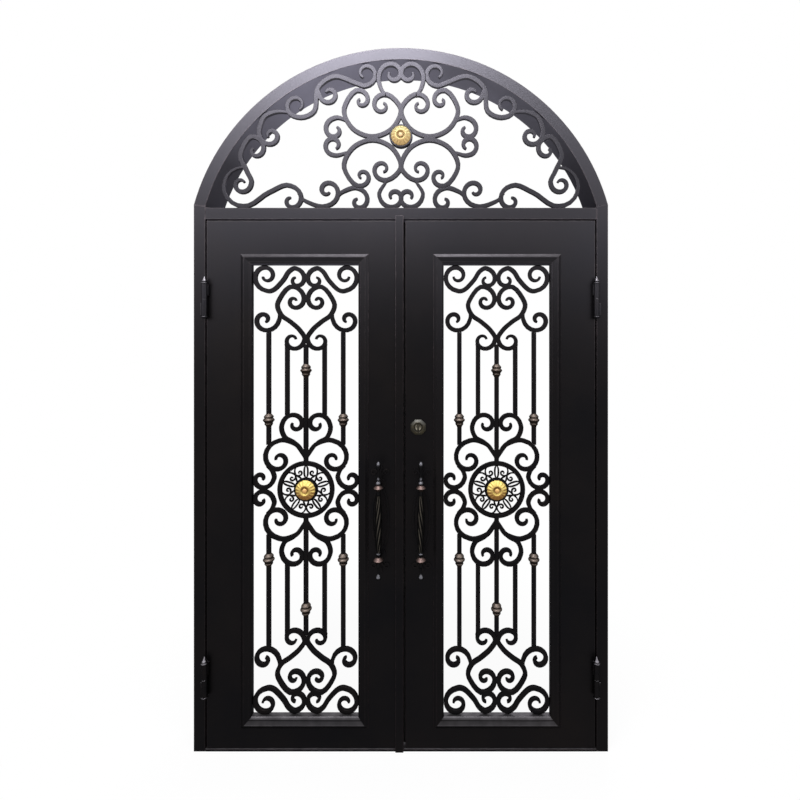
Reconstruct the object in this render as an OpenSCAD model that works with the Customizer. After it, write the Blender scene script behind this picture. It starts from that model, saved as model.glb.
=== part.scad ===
// Arched wrought iron double door in its steel frame, with a scrollwork transom.
// Millimetres. X runs along the wall, Z up, and the street side faces -Y.
// The origin is the middle of the frame's flat underside.

/* [Frame] */
// Width over the jambs
frame_w = 1830; // [1700:1:2100]
// Height to the crown of the arch
frame_h = 3108; // [2950:1:3300]
// Depth of the jambs from front to back
frame_d = 152; // [130:1:220]
// Face width of the jambs, the arched head and the transom bar
member_w = 51; // [45:1:70]
// Height of the arch from its springing to its crown
arch_rise = 693; // [600:1:800]
// Straight part of the jambs between the transom bar and the arch's inside
transom_drop = 6; // [0:1:20]
// Height of the threshold
threshold_h = 12; // [8:1:16]
// Width that each door stop stands out from its jamb
stop_w = 16; // [13:1:24]
// Thickness of the door stops
stop_t = 20; // [12:1:30]

/* [Leaves] */
// Thickness of the leaf tube
leaf_t = 50; // [44:1:60]
// Gap between a leaf and the frame
leaf_gap = 6; // [5:0.5:8]
// Distance between the two leaves' meeting edges
meeting_space = 40; // [36:1:60]
// Width of the grille opening in a leaf
open_w = 472; // [440:1:500]
// Height of the bottom rail, from the leaf's lower edge to its opening
bottom_rail_h = 133; // [100:1:200]
// Height of the top rail, from the opening to the leaf's upper edge
top_rail_h = 194; // [150:1:260]
// Width of the meeting stile, from the leaf's edge to its opening
meeting_stile_w = 169; // [160:1:185]
// Gap between the meeting strip and the right leaf
strip_gap = 8; // [6:0.5:10]
// Thickness of the meeting strip's face plate
strip_t = 9; // [8:1:12]
// Length that the strip's face plate laps over the transom bar
strip_lap = 20; // [10:1:30]

/* [Mouldings] */
// Width of the moulding over the leaf's face
moulding_w = 36; // [28:1:48]
// Height of the front moulding's ridge over the leaf
moulding_h = 10; // [6:1:16]
// Width of the lip that lines the opening
lip_w = 10; // [6:1:14]
// Depth of the lip behind the leaf's face
lip_d = 28; // [26:1:40]
// Width of the glazing rebate that is cut in the leaf behind the lip
rebate_w = 26; // [12:1:30]
// Height of the back moulding over the leaf
back_moulding_h = 8; // [4:1:12]

/* [Grilles] */
// Width of the bars, seen from the front
bar_w = 20; // [15:0.5:22]
// Thickness of the bars, front to back
bar_t = 14; // [10:1:18]
// Depth of the leaf grilles behind the leaf's face
grille_inset = 13; // [8:1:16]
// Depth of the transom grille behind the frame's face
transom_inset = 2; // [0:1:60]
// Distance between neighbouring uprights
upright_pitch = 83; // [78:0.5:88]
// Radius of the medallion ring, over its outside
medallion_r = 127; // [122:1:132]
// Width of the medallion ring's band
ring_w = 18; // [14:0.5:24]
// Radius of the gilt rosettes
rosette_r = 45; // [38:1:50]
// Radius of the collars round the uprights
collar_r = 25; // [21:0.5:30]

/* [Hinges] */
// Radius of the hinge barrels
barrel_r = 12; // [10:0.5:15]
// Radius of the hinge pins
pin_r = 6; // [4:0.5:7]
// Length of a hinge between its end rings
barrel_l = 152; // [130:1:220]
// Height of the lower hinges
lower_hinge_z = 333; // [250:1:500]
// Height of the upper hinges
upper_hinge_z = 1996; // [1800:1:2100]

/* [Handles and lock] */
// Height of the middle between the pull handles' posts
handle_z = 1029; // [950:1:1150]
// Distance from the door's middle line to the pull handles
handle_x = 91; // [85:1:105]
// Distance from the leaf's face to the handle's axis
handle_standoff = 60; // [50:1:80]
// Length of the turned spindle above the upper post
spindle_above = 114; // [100:1:130]
// Length of the turned spindle below the lower post
spindle_below = 83; // [76:1:110]
// Distance between the handle's two posts
post_span = 308; // [260:1:340]
// Radius of the grip at its middle
grip_r = 17; // [14:0.5:20]
// Height of the deadbolt
deadbolt_z = 1433; // [1380:1:1500]
// Distance from the door's middle line to the deadbolt
deadbolt_x = 77; // [70:1:85]
// Half the width of the deadbolt's eight-sided rosette
deadbolt_r = 34; // [28:1:38]
// Radius of the key plug
plug_r = 16; // [10:0.5:17]

/* [Hidden] */

$fn = 64;
iron = "#2b2a2c";
rubbed = "#6b4a3c";
gilt = "#d9a93a";
pewter = "#6f6a5c";

// Clearance at seats that are welded or bolted on the real door
seat = 0.3;
// Running clearance of a pin in its hole
running = 0.05;
// Gap between a hinge's rings and the faces behind them
ring_gap = 1;

front_y = -frame_d / 2;
back_y = frame_d / 2;
jamb_x = frame_w / 2 - member_w;
arch_r = (frame_w * frame_w / 4 + arch_rise * arch_rise) / (2 * arch_rise);
arch_inner_r = arch_r - member_w;
arch_z = frame_h - arch_r;
spring_z = frame_h - arch_rise;
// The arch's inside meets the jambs' inner faces here
inner_spring_z = arch_z + sqrt(arch_inner_r * arch_inner_r - jamb_x * jamb_x);
transom_z = inner_spring_z - transom_drop;

leaf_z0 = threshold_h + leaf_gap;
leaf_z1 = transom_z - member_w - leaf_gap;
leaf_x0 = meeting_space / 2;
leaf_x1 = jamb_x - leaf_gap;
leaf_back_y = front_y + leaf_t;
stop_y = leaf_back_y + leaf_gap;

open_x = leaf_x0 + meeting_stile_w + open_w / 2;
open_z0 = leaf_z0 + bottom_rail_h;
open_z1 = leaf_z1 - top_rail_h;
open_h = open_z1 - open_z0;
open_z = (open_z0 + open_z1) / 2;

hinge_x = leaf_x1;
ring_r = barrel_r + 3;
hinge_y = front_y - ring_r - ring_gap;

// The scrollwork's points are drawn in an opening 472 wide, and in a head 1728 wide and 655 high inside;
// these say how much wider and higher the real ones are
ornament = open_w / 472;
transom_ornament = [2 * jamb_x / 1728, (frame_h - member_w - transom_z) / 655];
facet = 18;

// ---- Shared shapes ----

// Plate whose outline is drawn in the XZ plane, from depth y back over t
module plate(y, t) {
    translate([0, y + t, 0]) rotate([90, 0, 0]) linear_extrude(t) children();
}

module box(x0, x1, y0, y1, z0, z1) {
    translate([x0, y0, z0]) cube([x1 - x0, y1 - y0, z1 - z0]);
}

// Round body on a vertical axis, from [radius, height] points read upward
module turned(points) {
    low = points[0][1];
    high = points[len(points) - 1][1];
    rotate_extrude() polygon(concat([[0, low]], points, [[0, high]]));
}

module pair() {
    children();
    mirror([1, 0]) children();
}

function last(list) = list[len(list) - 1];
function reversed(list) = [for (i = [len(list) - 1:-1:0]) list[i]];
function unit(v) = v / norm(v);
function left_of(v) = [-v[1], v[0]];

// Spiral end of a scroll, wound inward from its outer end:
// [centre x, centre z, outer radius, start angle, turn, shrink per quarter turn]
function volute(v) =
    let (steps = ceil(abs(v[4]) / facet))
    [for (i = [0:steps])
        let (turn = v[4] * i / steps, r = v[2] * pow(v[5], -abs(turn) / 90))
        [v[0] + r * cos(v[3] + turn), v[1] + r * sin(v[3] + turn)]];

// A scroll's end is a volute, or a plain point where the bar just tapers out
function scroll_end(e) = len(e) == 2 ? [e] : volute(e);

function hermite(p, q, pt, qt, t) =
    (2 * t * t * t - 3 * t * t + 1) * p + (t * t * t - 2 * t * t + t) * pt
    + (3 * t * t - 2 * t * t * t) * q + (t * t * t - t * t) * qt;

// Smooth curve through knots, leaving the first along "start" and reaching the last along "end"
function spline(knots, start, end) =
    let (n = len(knots) - 1,
        slope = [for (i = [0:n])
            i == 0 ? start * norm(knots[1] - knots[0])
            : i == n ? end * norm(knots[n] - knots[n - 1])
            : (knots[i + 1] - knots[i - 1]) / 2])
    [for (i = [0:n - 1], t = [0:0.2:0.9]) if (i + t > 0)
        hermite(knots[i], knots[i + 1], slope[i], slope[i + 1], t)];

function heading_out(points, fallback) =
    len(points) < 2 ? unit(fallback) : unit(last(points) - points[len(points) - 2]);

// Centreline of a scroll from end a through the knots to end b
function scroll_line(a, via, b) =
    let (pa = reversed(scroll_end(a)),
        pb = scroll_end(b),
        knots = concat([last(pa)], via, [pb[0]]),
        n = len(knots) - 1,
        start = heading_out(pa, knots[1] - knots[0]),
        end = -heading_out(reversed(pb), knots[n - 1] - knots[n]))
    concat(pa, spline(knots, start, end), pb);

// Share of the bar's full width at a place along it, from 0 to 1
function taper(f) = 0.5 + 0.5 * sin(90 * min(1, f / 0.3, (1 - f) / 0.3));

// Bar of tapering width along a centreline
module stroke(line, width) {
    n = len(line) - 1;
    sides = [for (i = [0:n])
        let (along = unit(line[min(i + 1, n)] - line[max(i - 1, 0)]))
        left_of(along) * width * taper(i / n) / 2];
    polygon(concat([for (i = [0:n]) line[i] + sides[i]], [for (i = [n:-1:0]) line[i] - sides[i]]));
}

// Scrollwork grows as a whole, so that its bars still meet where they are welded
module scroll(a, via, b, width = bar_w, size = [ornament, ornament]) {
    stroke([for (p = scroll_line(a, via, b)) [p[0] * size[0], p[1] * size[1]]], width * max(size));
}

// Joins bars and fills the narrow gaps between them as a weld does
module welded() {
    offset(delta = -1) offset(delta = 1) children();
}

// Rim, ring of petals and centre button of a rosette that faces the street
module rosette() {
    rotate([90, 0, 0]) turned([[rosette_r + 6, 0], [rosette_r + 6, 5], [rosette_r + 3, 8], [rosette_r, 8],
        [rosette_r * 0.92, 13], [rosette_r * 0.5, 18], [rosette_r * 0.42, 14],
        [rosette_r * 0.3, 14], [rosette_r * 0.24, 19], [rosette_r * 0.1, 21]]);
}

// ---- Frame ----

module jamb(side) {
    color(iron) plate(front_y, frame_d) polygon([
        [side * jamb_x, 0], [side * frame_w / 2, 0],
        [side * frame_w / 2, spring_z], [side * jamb_x, inner_spring_z]]);
}

module left_jamb() {
    jamb(-1);
}

module right_jamb() {
    jamb(1);
}

module arch_head() {
    // the head stops at a mitre on each jamb
    mitre = (spring_z - inner_spring_z) / member_w;
    over = arch_r + 1 - frame_w / 2;
    color(iron) difference() {
        translate([0, back_y, arch_z]) rotate([90, 0, 0]) cylinder(r = arch_r, h = frame_d);
        translate([0, back_y + 1, arch_z]) rotate([90, 0, 0]) cylinder(r = arch_inner_r, h = frame_d + 2);
        plate(front_y - 1, frame_d + 2) polygon([
            [-jamb_x, inner_spring_z], [jamb_x, inner_spring_z],
            [frame_w / 2 + over, spring_z + over * mitre], [frame_w / 2 + over, 0],
            [-frame_w / 2 - over, 0], [-frame_w / 2 - over, spring_z + over * mitre]]);
        box(-frame_w, frame_w, front_y - 1, back_y + 1, arch_z - arch_r - 1, 1);
    }
}

module transom_bar() {
    color(iron) box(-jamb_x, jamb_x, front_y, back_y, transom_z - member_w, transom_z);
}

module threshold() {
    color(iron) box(-jamb_x, jamb_x, front_y, back_y, 0, threshold_h);
}

module door_stops() {
    top = transom_z - member_w;
    color(iron) {
        for (side = [-1, 1])
            box(min(side * jamb_x, side * (jamb_x - stop_w)), max(side * jamb_x, side * (jamb_x - stop_w)),
                stop_y, stop_y + stop_t, threshold_h, top);
        box(-jamb_x + stop_w + seat, jamb_x - stop_w - seat, stop_y, stop_y + stop_t, top - stop_w, top);
    }
}

// ---- Transom grille, drawn about the middle of the transom bar's top ----

rosette_z = 316 * transom_ornament[1];

module transom_plate() {
    translate([0, 0, transom_z]) plate(front_y + transom_inset, bar_t) intersection() {
        children();
        transom_outline();
    }
}

// The inside of the frame's head, less the clearance at the welds
module transom_outline() {
    intersection() {
        translate([0, arch_z - transom_z]) circle(r = arch_inner_r - seat, $fn = 180);
        translate([-jamb_x + seat, seat]) square([2 * (jamb_x - seat), arch_inner_r]);
    }
}

module transom_scroll(a, via, b) {
    scroll(a, via, b, bar_w, transom_ornament);
}

// Knots along a round stretch of a scroll
function round_knots(c, r, from, to, count) =
    [for (i = [0:count]) c + r * [cos(from + (to - from) * i / count), sin(from + (to - from) * i / count)]];

module transom_centre_outline() {
    welded() {
        pair() {
            // upper and lower C-scrolls
            transom_scroll([-178, 474, 47, 90, -340, 1.6], round_knots([-127, 442], 125, 180, 360, 4),
                [-83, 453, 50, 90, 340, 1.43]);
            transom_scroll([-173, 142, 43, 270, 340, 1.5], round_knots([-127, 177], 125, 180, 0, 4),
                [-82, 174, 49, 270, -350, 1.39]);
            // side scrolls that curl toward each other
            transom_scroll([-232, 384], [], [-293, 345, 55, 90, 330, 1.4]);
            transom_scroll([-232, 248], [], [-299, 279, 44, 270, -330, 1.25]);
            // lyre above and below
            transom_scroll([-64, 122], [], [-32, 51, 64, 180, 400, 1.41]);
            transom_scroll([-64, 497], [[-90, 533]], [-36, 592, 61, 180, -390, 1.35]);
        }
        difference() {
            translate([0, rosette_z]) circle(r = (rosette_r + 6) * max(transom_ornament), $fn = 32);
            translate([0, rosette_z]) circle(r = rosette_r - 10, $fn = 32);
        }
    }
}

module transom_centre_scrolls() {
    color(iron) transom_plate() transom_centre_outline();
}

module transom_side_outline() {
    difference() {
        welded() {
            // along the transom bar
            transom_scroll([-699, 95, 86, 270, -180, 1], [[-586, 69]], [-488, 33, 66, 90, -360, 1.51]);
            transom_scroll([-454, 66], [[-421, 30]], [-328, 78, 68, 270, 420, 1.43]);
            transom_scroll([-287, 45], [[-255, 74]], [-190, 29, 59, 90, -350, 1.5]);
            // along the arch
            transom_scroll([-648, 255, 61, 90, -330, 1.62], [[-711, 241], [-686, 169]],
                [-708, 106, 44, 0, -330, 1.32]);
            transom_scroll([-503, 424], round_knots([-553, 353], 74, 90, 180, 2),
                [-576, 321, 50, 180, 390, 1.34]);
            transom_scroll([-463, 455, 51, 270, -330, 1.25],
                [[-384, 430], [-369, 531], [-293, 583], [-199, 553]],
                [-156, 596, 54, 270, 330, 1.3]);
            transom_scroll([-368, 528], [], [-318, 503, 44, 180, 330, 1.28]);
        }
        // coped to the centre scrolls
        offset(delta = seat) transom_centre_outline();
    }
}

module transom_left_scrolls() {
    color(iron) transom_plate() transom_side_outline();
}

module transom_right_scrolls() {
    color(iron) transom_plate() mirror([1, 0]) transom_side_outline();
}

module transom_rosette() {
    color(gilt) translate([0, front_y + transom_inset - seat, transom_z + rosette_z]) rosette();
}

// ---- Leaf ----

module leaf_frame(side) {
    color(iron) plate(front_y, leaf_t) difference() {
        polygon([[side * leaf_x0, leaf_z0], [side * leaf_x1, leaf_z0],
            [side * leaf_x1, leaf_z1], [side * leaf_x0, leaf_z1]]);
        translate([side * open_x, open_z])
            square([open_w + 2 * rebate_w, open_h + 2 * rebate_w], center = true);
    }
}

// Mitred ring round an opening; the profile's points are [distance out from the opening, depth]
module mitred_ring(w, h, profile) {
    reach = moulding_w + lip_w + 5;
    sides = [[w, h, 0], [h, w, 90], [w, h, 180], [h, w, 270]];
    for (s = sides)
        rotate([0, s[2], 0]) intersection() {
            translate([-s[0] / 2 - reach, 0, -s[1] / 2]) rotate([90, 0, 90])
                linear_extrude(s[0] + 2 * reach) polygon([for (p = profile) [p[1], -p[0]]]);
            plate(-100, 200) polygon([
                [-s[0] / 2, -s[1] / 2], [s[0] / 2, -s[1] / 2],
                [s[0] / 2 + reach, -s[1] / 2 - reach], [-s[0] / 2 - reach, -s[1] / 2 - reach]]);
        }
}

module front_moulding(side) {
    ridge = lip_w + 0.64 * moulding_w;
    color(iron) translate([side * open_x, front_y, open_z]) mitred_ring(open_w, open_h, [
        [0, lip_d], [0, 5], [4, 1], [lip_w, -2], [lip_w + 4, -3],
        [ridge - 5, -moulding_h + 1], [ridge - 4, -moulding_h], [ridge, -moulding_h],
        [lip_w + moulding_w, -2], [lip_w + moulding_w, 0], [lip_w, 0], [lip_w, lip_d]]);
}

module back_moulding(side) {
    color(iron) translate([side * open_x, leaf_back_y, open_z]) mitred_ring(open_w, open_h, [
        [rebate_w, 0], [lip_w + moulding_w, 0], [lip_w + moulding_w, back_moulding_h / 2],
        [lip_w + moulding_w - 6, back_moulding_h], [rebate_w, back_moulding_h]]);
}

module meeting_strip() {
    edge = leaf_x0 - strip_gap;
    color(iron) union() {
        box(-leaf_x0 - 4, edge, front_y - strip_t, front_y, leaf_z0, leaf_z1);
        // thinner ends that lap the transom bar and the threshold
        box(-leaf_x0 - 4, edge, front_y - strip_t, front_y - 5, leaf_z0 - 14, leaf_z1 + strip_lap);
        box(-leaf_x0, edge - 2, front_y, leaf_back_y - 10, leaf_z0, leaf_z1);
    }
}

// ---- Leaf grille, drawn about the middle of the opening ----

module grille_plate(side) {
    translate([side * open_x, 0, open_z]) plate(front_y + grille_inset, bar_t) intersection() {
        children();
        square([open_w - 2 * seat, open_h - 2 * seat], center = true);
    }
}

module end_scrolls_outline() {
    welded() translate([0, open_h / 2]) pair() {
        // top S-scroll, lyre, and side scroll
        scroll([-176, -47.5, 66, 270, -440, 1.33], [[-142, -108], [-101, -66], [-76, -28]],
            [-44, -66, 52, 90, -350, 1.48]);
        scroll([-53, -160, 64, 90, -440, 1.5], [[-124, -163], [-112, -219], [-69, -252], [-27, -290]],
            [-59, -334, 52, 0, -345, 1.4]);
        scroll([-122, -185], [], [-186, -242, 67, 0, -425, 1.43]);
    }
}

module centre_outline() {
    // the heart scrolls end on the medallion ring
    ring_top = medallion_r / ornament;
    welded() {
        for (up = [0, 1]) mirror([0, up]) pair() {
            // heart scroll, C-scroll, and wall scroll
            scroll([-48, 290, 59, 180, -388, 1.41], [[-95, 234], [-46, 204]], [0, ring_top + 8]);
            scroll([0, ring_top + 1], [[-17, 170], [-52, 206]], [-120, 133, 85, 90, 455, 1.43]);
            scroll([-174, 106], [[-150, 82]], [-201, 48, 58, 0, -390, 1.5]);
        }
        // solid root where the hearts meet the ring
        for (up = [0, 1]) mirror([0, up]) translate([-bar_w / 2, medallion_r - 2])
            square([bar_w, 3 * bar_w]);
        circle(r = medallion_r, $fn = 48);
    }
}

module centre_scrolls(side) {
    color(iron) grille_plate(side) difference() {
        centre_outline();
        circle(r = medallion_r - ring_w, $fn = 48);
    }
}

module top_scrolls(side) {
    color(iron) grille_plate(side) end_scrolls_outline();
}

module bottom_scrolls(side) {
    color(iron) grille_plate(side) mirror([0, 1]) end_scrolls_outline();
}

// Heights on the uprights, from the middle of the opening
centre_bar_z0 = medallion_r + 34;
centre_bar_z1 = open_h / 2 - 352 * ornament;
inner_bar_z0 = 326 * ornament;
inner_bar_z1 = open_h / 2 - 352 * ornament;
outer_bar_z0 = 200 * ornament;
outer_bar_z1 = open_h / 2 - 287 * ornament;
centre_collar_z = open_h / 2 - 468 * ornament;
outer_collar_z = 311 * ornament;

module uprights(side) {
    color(iron) grille_plate(side) difference() {
        for (up = [0, 1]) mirror([0, up]) {
            translate([-bar_w / 2, centre_bar_z0]) square([bar_w, centre_bar_z1 - centre_bar_z0]);
            pair() {
                translate([upright_pitch - bar_w / 2, inner_bar_z0])
                    square([bar_w, inner_bar_z1 - inner_bar_z0]);
                translate([2 * upright_pitch - bar_w / 2, outer_bar_z0])
                    square([bar_w, outer_bar_z1 - outer_bar_z0]);
            }
        }
        offset(delta = seat) end_scrolls_outline();
        offset(delta = seat) mirror([0, 1]) end_scrolls_outline();
        offset(delta = seat) centre_outline();
    }
}

module collar() {
    neck = norm([bar_w, bar_t]) / 2 + 0.6;
    drum = neck + 6.5;
    color(rubbed) difference() {
        turned([[neck, -32], [neck + 2, -25], [drum - 2, -19], [drum - 1, -9], [drum, -6], [collar_r, -2],
            [collar_r, 2], [drum, 6], [drum, 16], [neck + 3, 23], [neck, 28]]);
        cube([bar_w, bar_t, 70], center = true);
    }
}

module collars(side) {
    translate([side * open_x, front_y + grille_inset + bar_t / 2, open_z])
        for (up = [-1, 1]) {
            translate([0, 0, up * centre_collar_z]) collar();
            for (s = [-1, 1]) translate([s * 2 * upright_pitch, 0, up * outer_collar_z]) collar();
        }
}

tracery_t = 6;
tracery_bar = 8;
tracery_y = front_y + grille_inset + (bar_t - tracery_t) / 2;

module curved_bar(knots, start, end) {
    stroke(concat([knots[0]], spline(knots, start, end), [last(knots)]), tracery_bar);
}

module tracery_outline() {
    inside = medallion_r - ring_w;
    hub = rosette_r + 6;
    welded() for (i = [0:4]) {
        // pointed eye that reaches from the hub to the ring
        rotate(90 + 72 * i) for (m = [0, 1]) mirror([0, m])
            curved_bar([[hub, 0], [0.73 * inside, 8], [inside - 1, 0]], [0.7, 0.8], [0.7, -0.8]);
        // S-scrolls that cross between the eyes, with a short link to the hub
        rotate(54 + 72 * i) for (m = [0, 1]) mirror([0, m]) {
            scroll([inside, -27], [[100, -11], [89, -3.5], [78, 0.5], [70, 7]],
                [76.5, 21.5, 11.5, 215, -330, 1.33], tracery_bar, [1, 1]);
            curved_bar([[hub, 12], [63, 8], [73, 3]], [1, -0.3], [1, -0.5]);
        }
    }
    difference() {
        circle(r = hub + 3, $fn = 40);
        circle(r = rosette_r - 8, $fn = 40);
    }
}

module tracery(side) {
    inside = medallion_r - ring_w - seat;
    color(iron) translate([side * open_x, 0, open_z])
        plate(tracery_y, tracery_t) intersection() {
            union() {
                tracery_outline();
                difference() {
                    circle(r = inside, $fn = 48);
                    circle(r = inside - 3, $fn = 48);
                }
            }
            circle(r = inside, $fn = 48);
        }
}

module leaf_rosette(side) {
    color(gilt) translate([side * open_x, tracery_y - seat, open_z]) rosette();
}

// ---- Hinges ----

hinge_heights = [lower_hinge_z, upper_hinge_z];
half_barrel = barrel_l / 2;
knuckle_gap = 0.3;
pin_top = half_barrel - 20;

module hinge_post() {
    turned([[barrel_r - 5, -half_barrel - 9], [barrel_r - 1, -half_barrel - 4], [ring_r, -half_barrel - 4],
        [ring_r, -half_barrel], [barrel_r, -half_barrel], [barrel_r, 0], [pin_r, 0], [pin_r, pin_top]]);
}

module hinge_posts(side) {
    color(iron) for (z = hinge_heights)
        translate([side * hinge_x, hinge_y, z]) {
            hinge_post();
            // weld block on the jamb
            box(min(side * 3, side * (leaf_gap + 14)), max(side * 3, side * (leaf_gap + 14)),
                2, front_y - hinge_y, -half_barrel + 8, -18);
        }
}

module hinge_knuckle() {
    difference() {
        turned([[barrel_r, knuckle_gap], [barrel_r, half_barrel - 8], [ring_r, half_barrel - 8],
            [ring_r, half_barrel - 4], [barrel_r - 3, half_barrel - 2], [barrel_r - 3, half_barrel + 1],
            [barrel_r, half_barrel + 3], [barrel_r - 2, half_barrel + 6],
            [barrel_r - 4, half_barrel + 8], [1.5, half_barrel + 24]]);
        translate([0, 0, -1]) cylinder(r = pin_r + running, h = pin_top + 1 + seat);
    }
}

module hinge_knuckles(side) {
    color(iron) for (z = hinge_heights)
        translate([side * hinge_x, hinge_y, z]) difference() {
            union() {
                hinge_knuckle();
                // weld block on the leaf
                box(min(-side * 3, -side * 15), max(-side * 3, -side * 15), 2, front_y - hinge_y,
                    18, half_barrel - 8);
            }
            translate([0, 0, -1]) cylinder(r = pin_r + running, h = pin_top + 1 + seat);
        }
}

// ---- Handles and lock ----

plate_t = 4;

handle_disc_r = 21;
post_r = 8;

// Spindle with a swelling grip between two domed discs, and a finial at each end
module handle_turning() {
    span = post_span / 2;
    grip_l = span - 42;
    turned(concat(
        [[9, -span - spindle_below], [12, -span - spindle_below + 5], [5, -span - spindle_below + 27],
            [5, -span - 30], [10, -span - 26], [10, -span - 21], [7, -span - 14],
            [handle_disc_r - 2, -span - 7], [handle_disc_r, -span - 4], [handle_disc_r, -span + 4],
            [12, -span + 13], [9, -span + 17], [12, -span + 20], [12, -span + 28], [8, -span + 32]],
        [for (i = [0:8]) [8 + (grip_r - 8) * sin(180 * (0.08 + 0.84 * i / 8)), (i - 4) / 4 * grip_l]],
        [[8, span - 32], [12, span - 26], [12, span - 18], [8, span - 14],
            [handle_disc_r - 3, span - 8], [handle_disc_r, span - 4], [handle_disc_r, span + 4],
            [12, span + 13], [8, span + 15], [11, span + 19], [10, span + 26], [4, span + 50],
            [5, span + spindle_above - 34], [10, span + spindle_above - 24], [10, span + spindle_above - 14],
            [3, span + spindle_above]]));
}

module pull_handle(x) {
    color(iron) translate([x, front_y - handle_standoff, handle_z]) handle_turning();
}

module inner_pull_handle(x) {
    color(iron) translate([x, leaf_back_y + handle_standoff, handle_z]) handle_turning();
}

// Posts that carry the handles on both sides, from their plates to the turned discs
module handle_posts(x) {
    length = handle_standoff - plate_t - handle_disc_r - seat;
    color(iron) for (s = [-1, 1]) translate([x, 0, handle_z + s * post_span / 2]) {
        translate([0, front_y - plate_t, 0]) rotate([90, 0, 0]) cylinder(r = post_r, h = length);
        translate([0, leaf_back_y + plate_t, 0]) rotate([-90, 0, 0]) cylinder(r = post_r, h = length);
    }
}

// Plate behind a handle: a long oval, with a three-lobed leaf at each end
module handle_plate_outline() {
    span = post_span / 2;
    welded() {
        for (s = [0, 1]) mirror([0, s]) translate([0, span]) {
            circle(r = 25, $fn = 32);
            translate([-6, 0]) square([12, 70]);
            translate([0, 72]) circle(r = 11, $fn = 20);
            pair() scroll([0, 22], [[10, 46]], [28, 50, 13, 90, -300, 1.25], 8, [1, 1]);
        }
        difference() {
            resize([82, 2 * span - 20]) circle(r = 40, $fn = 48);
            resize([62, 2 * span - 44]) circle(r = 40, $fn = 48);
        }
    }
}

module handle_plates(x) {
    color(pewter) for (y = [front_y - plate_t, leaf_back_y])
        translate([x, 0, handle_z]) plate(y, plate_t) handle_plate_outline();
}

// Eight-sided body, bevelled to a flat face round the plug
module deadbolt_body() {
    corner = deadbolt_r / cos(22.5);
    face = max(corner - 13.5, plug_r + 6);
    rim_h = 4;
    bevel_h = 8;
    rotate([0, 0, 22.5]) {
        cylinder(r = corner, h = rim_h, $fn = 8);
        translate([0, 0, rim_h]) cylinder(r1 = corner, r2 = face, h = bevel_h, $fn = 8);
    }
}

module deadbolt_rosette() {
    color(pewter) translate([deadbolt_x, front_y, deadbolt_z]) rotate([90, 0, 0]) difference() {
        deadbolt_body();
        translate([0, 0, -1]) cylinder(r = plug_r + running, h = 20);
    }
}

module deadbolt_inner_rosette() {
    color(pewter) translate([deadbolt_x, leaf_back_y, deadbolt_z]) rotate([-90, 0, 0]) deadbolt_body();
}

// Plug with its keyway
module key_plug() {
    keyway = [4, 1.4 * plug_r];
    color(pewter) translate([deadbolt_x, front_y - seat, deadbolt_z]) rotate([90, 0, 0]) difference() {
        cylinder(r = plug_r, h = 11);
        translate([-keyway[0] / 2, -keyway[1] / 2, 4]) cube([keyway[0], keyway[1], 12]);
    }
}

// ---- Assembly ----

left_jamb();
right_jamb();
arch_head();
transom_bar();
threshold();
door_stops();
transom_centre_scrolls();
transom_left_scrolls();
transom_right_scrolls();
transom_rosette();
hinge_posts(-1);  // left_hinge_posts
hinge_posts(1);  // right_hinge_posts
leaf_frame(-1);  // left_leaf_frame
front_moulding(-1);  // left_front_moulding
back_moulding(-1);  // left_back_moulding
meeting_strip();
top_scrolls(-1);  // left_top_scrolls
centre_scrolls(-1);  // left_centre_scrolls
bottom_scrolls(-1);  // left_bottom_scrolls
uprights(-1);  // left_uprights
collars(-1);  // left_collars
tracery(-1);  // left_tracery
leaf_rosette(-1);  // left_rosette
hinge_knuckles(-1);  // left_hinge_knuckles
pull_handle(-handle_x);  // left_pull_handle
inner_pull_handle(-handle_x);  // left_inner_pull_handle
handle_posts(-handle_x);  // left_handle_posts
handle_plates(-handle_x);  // left_handle_plates
leaf_frame(1);  // right_leaf_frame
front_moulding(1);  // right_front_moulding
back_moulding(1);  // right_back_moulding
top_scrolls(1);  // right_top_scrolls
centre_scrolls(1);  // right_centre_scrolls
bottom_scrolls(1);  // right_bottom_scrolls
uprights(1);  // right_uprights
collars(1);  // right_collars
tracery(1);  // right_tracery
leaf_rosette(1);  // right_rosette
hinge_knuckles(1);  // right_hinge_knuckles
pull_handle(handle_x);  // right_pull_handle
inner_pull_handle(handle_x);  // right_inner_pull_handle
handle_posts(handle_x);  // right_handle_posts
handle_plates(handle_x);  // right_handle_plates
deadbolt_rosette();
deadbolt_inner_rosette();
key_plug();
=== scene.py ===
"""Finishes, turned handles, gilt rosettes and lock of an arched wrought iron double door."""

import math

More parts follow.
